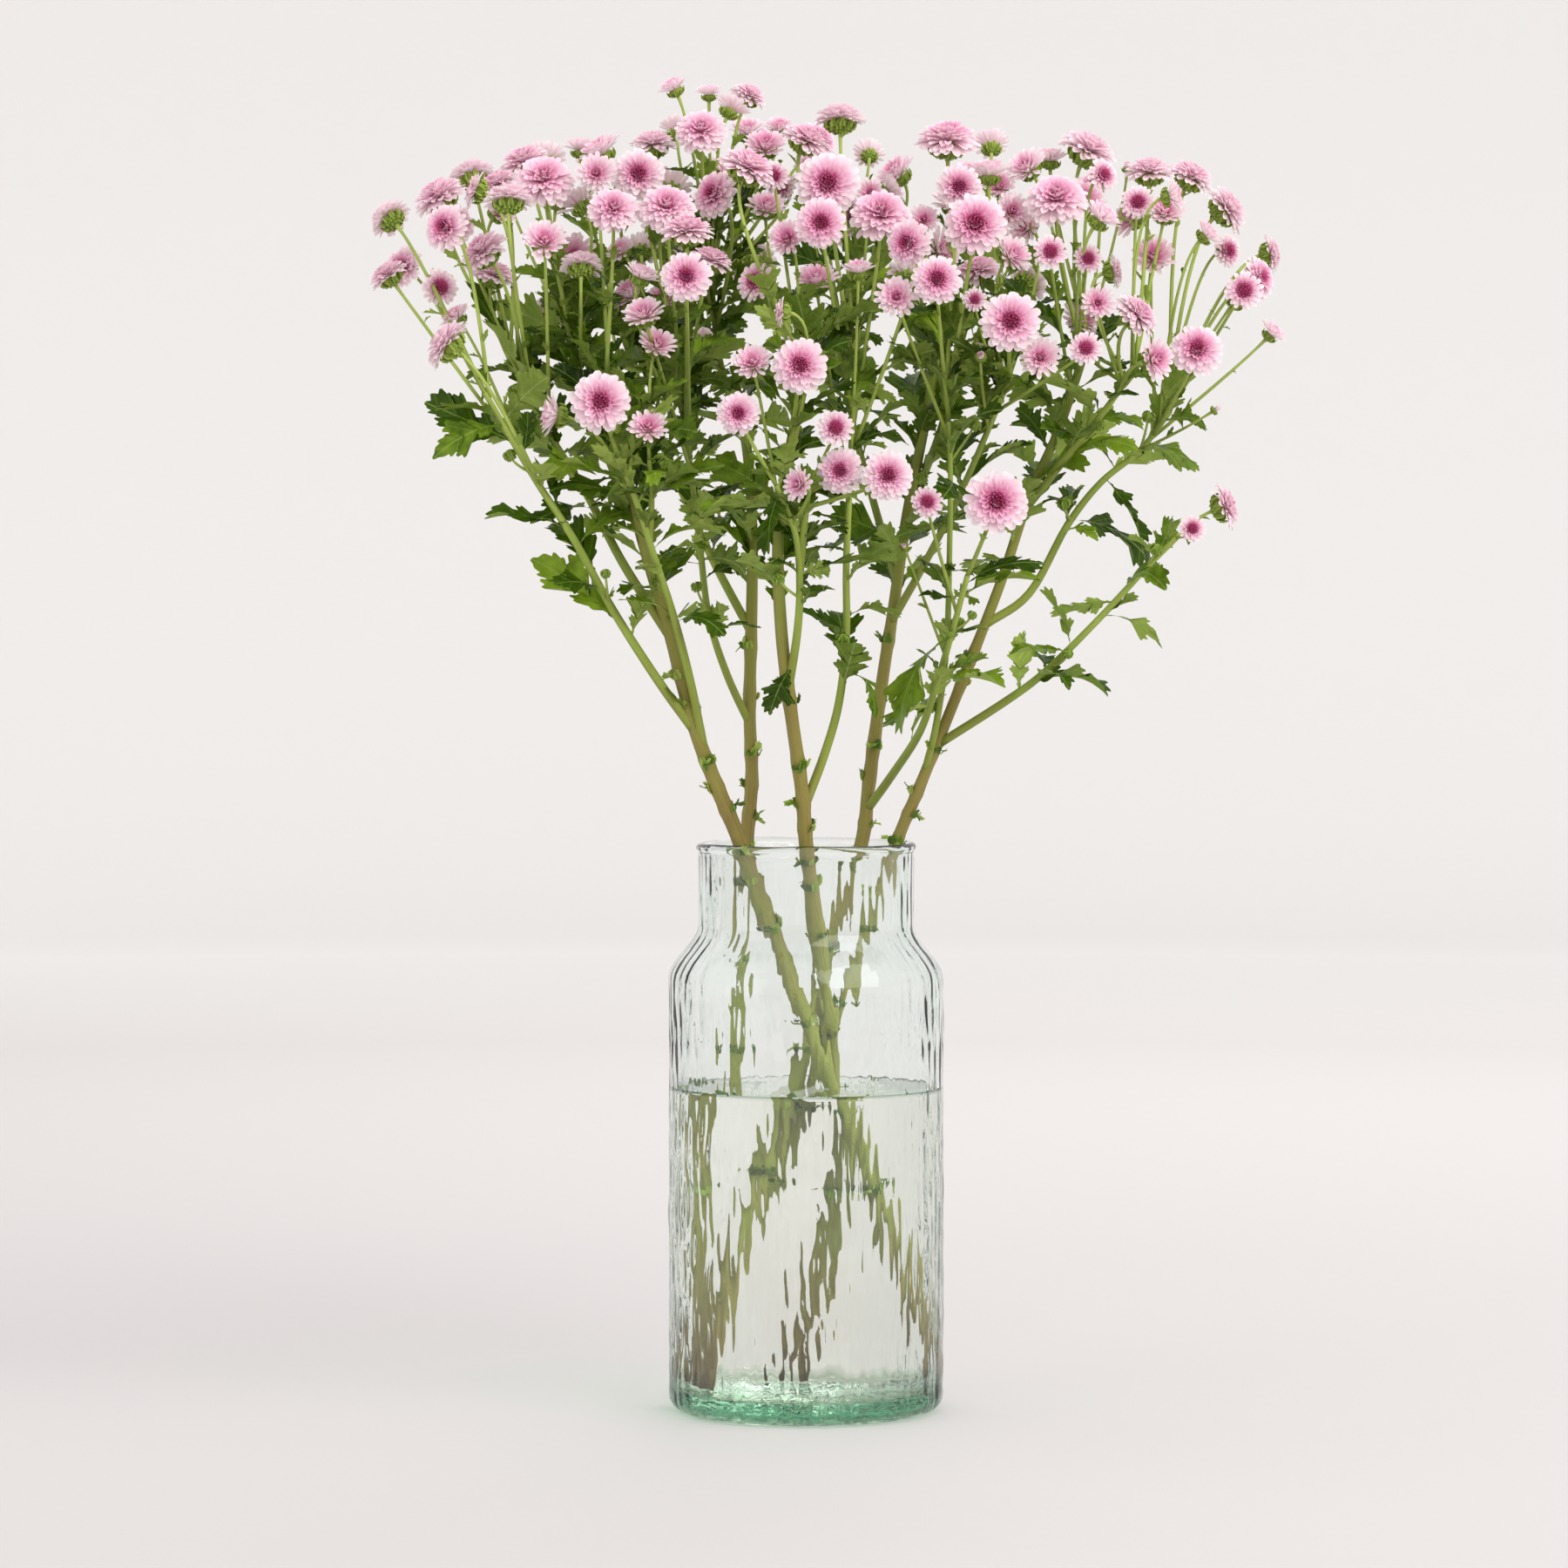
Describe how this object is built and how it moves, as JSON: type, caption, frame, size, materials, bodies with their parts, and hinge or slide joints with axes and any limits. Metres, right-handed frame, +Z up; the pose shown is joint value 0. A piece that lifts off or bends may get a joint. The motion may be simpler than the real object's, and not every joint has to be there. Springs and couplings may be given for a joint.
{
  "type": "bouquet in a vase",
  "caption": "Cut spray chrysanthemums with small pink double heads, standing in a clear glass bottle vase partly filled with water.",
  "frame": {"origin": "centre of the vase's flat underside", "axes": "+Z up along the vase axis, -Y the front of the bouquet, +X its right"},
  "size_m": [0.4029, 0.2131, 0.5848],
  "materials": {
    "vase_glass": "gloss",
    "water": "gloss",
    "stem_and_leaf": "satin",
    "petals": "matte"
  },
  "bodies": {
    "root": {"vase": "vase_glass", "water": "water", "stem_left_front": "stem_and_leaf", "stem_left_back": "stem_and_leaf", "stem_center": "stem_and_leaf", "stem_right_back": "stem_and_leaf", "stem_right": "stem_and_leaf", "flower_01": "petals", "flower_02": "petals", "flower_03": "petals", "flower_04": "petals", "flower_05": "petals", "flower_06": "petals", "flower_07": "petals", "flower_08": "petals", "flower_09": "petals", "flower_10": "petals", "flower_11": "petals", "flower_12": "petals", "flower_13": "petals", "flower_14": "petals", "flower_15": "petals", "flower_16": "petals", "flower_17": "petals", "flower_18": "petals", "flower_19": "petals", "flower_20": "petals", "flower_21": "petals", "flower_22": "petals", "flower_23": "petals", "flower_24": "petals", "flower_25": "petals", "flower_26": "petals", "flower_27": "petals", "flower_28": "petals", "flower_29": "petals", "flower_30": "petals", "flower_31": "petals", "flower_32": "petals", "flower_33": "petals", "flower_34": "petals", "flower_35": "petals", "flower_36": "petals", "flower_37": "petals", "flower_38": "petals", "flower_39": "petals", "flower_40": "petals", "flower_41": "petals", "flower_42": "petals", "flower_43": "petals", "flower_44": "petals", "flower_45": "petals", "flower_46": "petals", "flower_47": "petals", "flower_48": "petals", "flower_49": "petals", "flower_50": "petals", "flower_51": "petals", "flower_52": "petals", "flower_53": "petals"}
  },
  "joints": []
}
